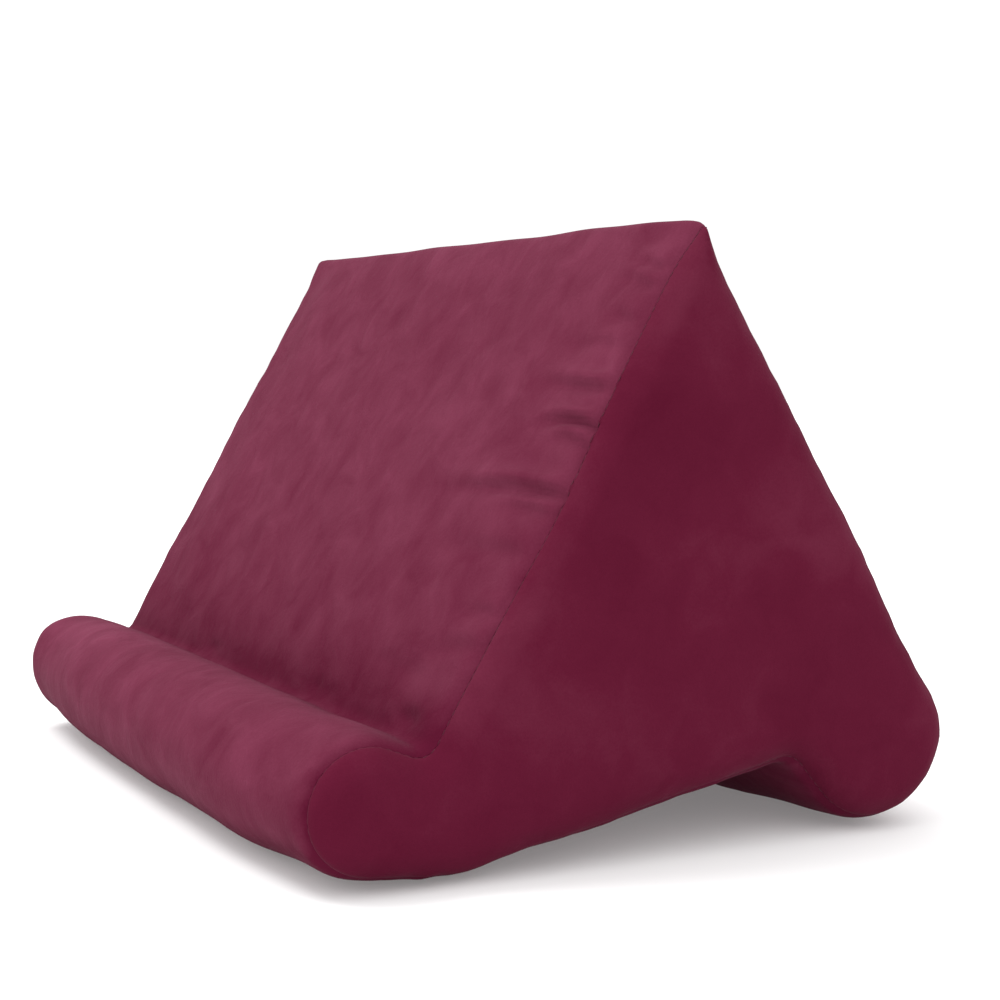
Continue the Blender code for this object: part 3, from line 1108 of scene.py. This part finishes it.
seam_thread = thread_finish()
lockstitch, stitch_sockets, stitch_sizes = stitch_tree()
seam_edges = [(i, (i + 1) % len(wrap_along)) for i in range(len(wrap_along))]
for name, side, column in (("seam_thread_right", 1, 0), ("seam_thread_left", -1, -1)):
    line_points = wrap_points[:, column].copy()
    line_points[:, 0] -= side * THREAD_SUNK
    line_points[:, 1:] -= seam_out * THREAD_SUNK
    line_points[:, 2] = np.maximum(line_points[:, 2], THREAD_WIDTH / 2)
    line_mesh = bpy.data.meshes.new(name)
    line_mesh.from_pydata((line_points * MM).tolist(), seam_edges, [])
    line_object = bpy.data.objects.new(name + "_line", line_mesh)
    bpy.context.collection.objects.link(line_object)
    modifier = line_object.modifiers.new("lockstitch", "NODES")
    modifier.node_group = lockstitch
    for socket, value in stitch_sizes.items():
        modifier[stitch_sockets[socket]] = value
    modifier[stitch_sockets["Thread"]] = seam_thread
    graph = bpy.context.evaluated_depsgraph_get()
    stitch_mesh = bpy.data.meshes.new_from_object(line_object.evaluated_get(graph))
    stitch_mesh.name = name
    bpy.data.objects.remove(line_object)
    bpy.data.meshes.remove(line_mesh)
    stitch_mesh.polygons.foreach_set("use_smooth", [True] * len(stitch_mesh.polygons))
    stitches = bpy.data.objects.new(name, stitch_mesh)
    bpy.context.collection.objects.link(stitches)
    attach(stitches, "root")

# ---------------------------------------------------------------------------------------------
# The room.
# A plain white floor that glows a little, as a light table does, under even white light, with
# one large soft lamp above to the front left.

floor_mesh = bpy.data.meshes.new("floor")
floor_mesh.from_pydata([(-6, -6, 0), (6, -6, 0), (6, 6, 0), (-6, 6, 0)], [], [(0, 1, 2, 3)])
floor = bpy.data.objects.new("floor", floor_mesh)
bpy.context.collection.objects.link(floor)
white = bpy.data.materials.new("white floor")
white.use_nodes = True
for socket, value in (
    ("Base Color", (0.82, 0.82, 0.82, 1)),
    ("Emission Color", (1, 1, 1, 1)),
    ("Emission Strength", 0.17),
    ("Roughness", 0.9),
    ("Specular IOR Level", 0.0),
):
    white.node_tree.nodes["Principled BSDF"].inputs[socket].default_value = value
floor_mesh.materials.append(white)

world = bpy.data.worlds.new("studio")
world.use_nodes = True
sky_nodes = world.node_tree.nodes
sky = sky_nodes["Background"]
sky.inputs["Color"].default_value = (1, 1, 1, 1)
sky_way = sky_nodes.new("ShaderNodeTexCoord")
sky_parts = sky_nodes.new("ShaderNodeSeparateXYZ")
sky_rise = sky_nodes.new("ShaderNodeMapRange")  # brighter overhead
sky_rise.inputs["To Min"].default_value = 1.02
sky_rise.inputs["To Max"].default_value = 1.62
wire(
    world.node_tree,
    (sky_way, "Generated", sky_parts, "Vector"),
    (sky_parts, "Z", sky_rise, "Value"),
    (sky_rise, "Result", sky, "Strength"),
)
bpy.context.scene.world = world

lamp = bpy.data.lights.new("soft lamp", "AREA")
lamp.shape = "DISK"
lamp.size = 0.9
lamp.energy = 19.0
lamp_object = bpy.data.objects.new("soft lamp", lamp)
lamp_object.location = (-0.5, -0.8, 2.0)
aim = Vector((0, 0, 0.09)) - lamp_object.location  # at the middle of the pillow
lamp_object.rotation_euler = aim.to_track_quat("-Z", "Y").to_euler()
bpy.context.collection.objects.link(lamp_object)

camera_data = bpy.data.cameras.new("camera")
camera_data.lens = 69.6
camera_data.sensor_width = 36.0
camera = bpy.data.objects.new("camera", camera_data)
camera.location = (0.6152, -0.29355, 0.1435)
turn, tip, roll = (math.radians(angle) for angle in (62.573, 4.0, 0.21))
facing = Vector((-math.sin(turn) * math.cos(tip), math.cos(turn) * math.cos(tip), -math.sin(tip)))
level = facing.to_track_quat("-Z", "Y")
camera.rotation_euler = (level @ Quaternion((0, 0, 1), roll)).to_euler()
bpy.context.collection.objects.link(camera)
bpy.context.scene.camera = camera
bpy.context.scene.view_settings.view_transform = "Standard"
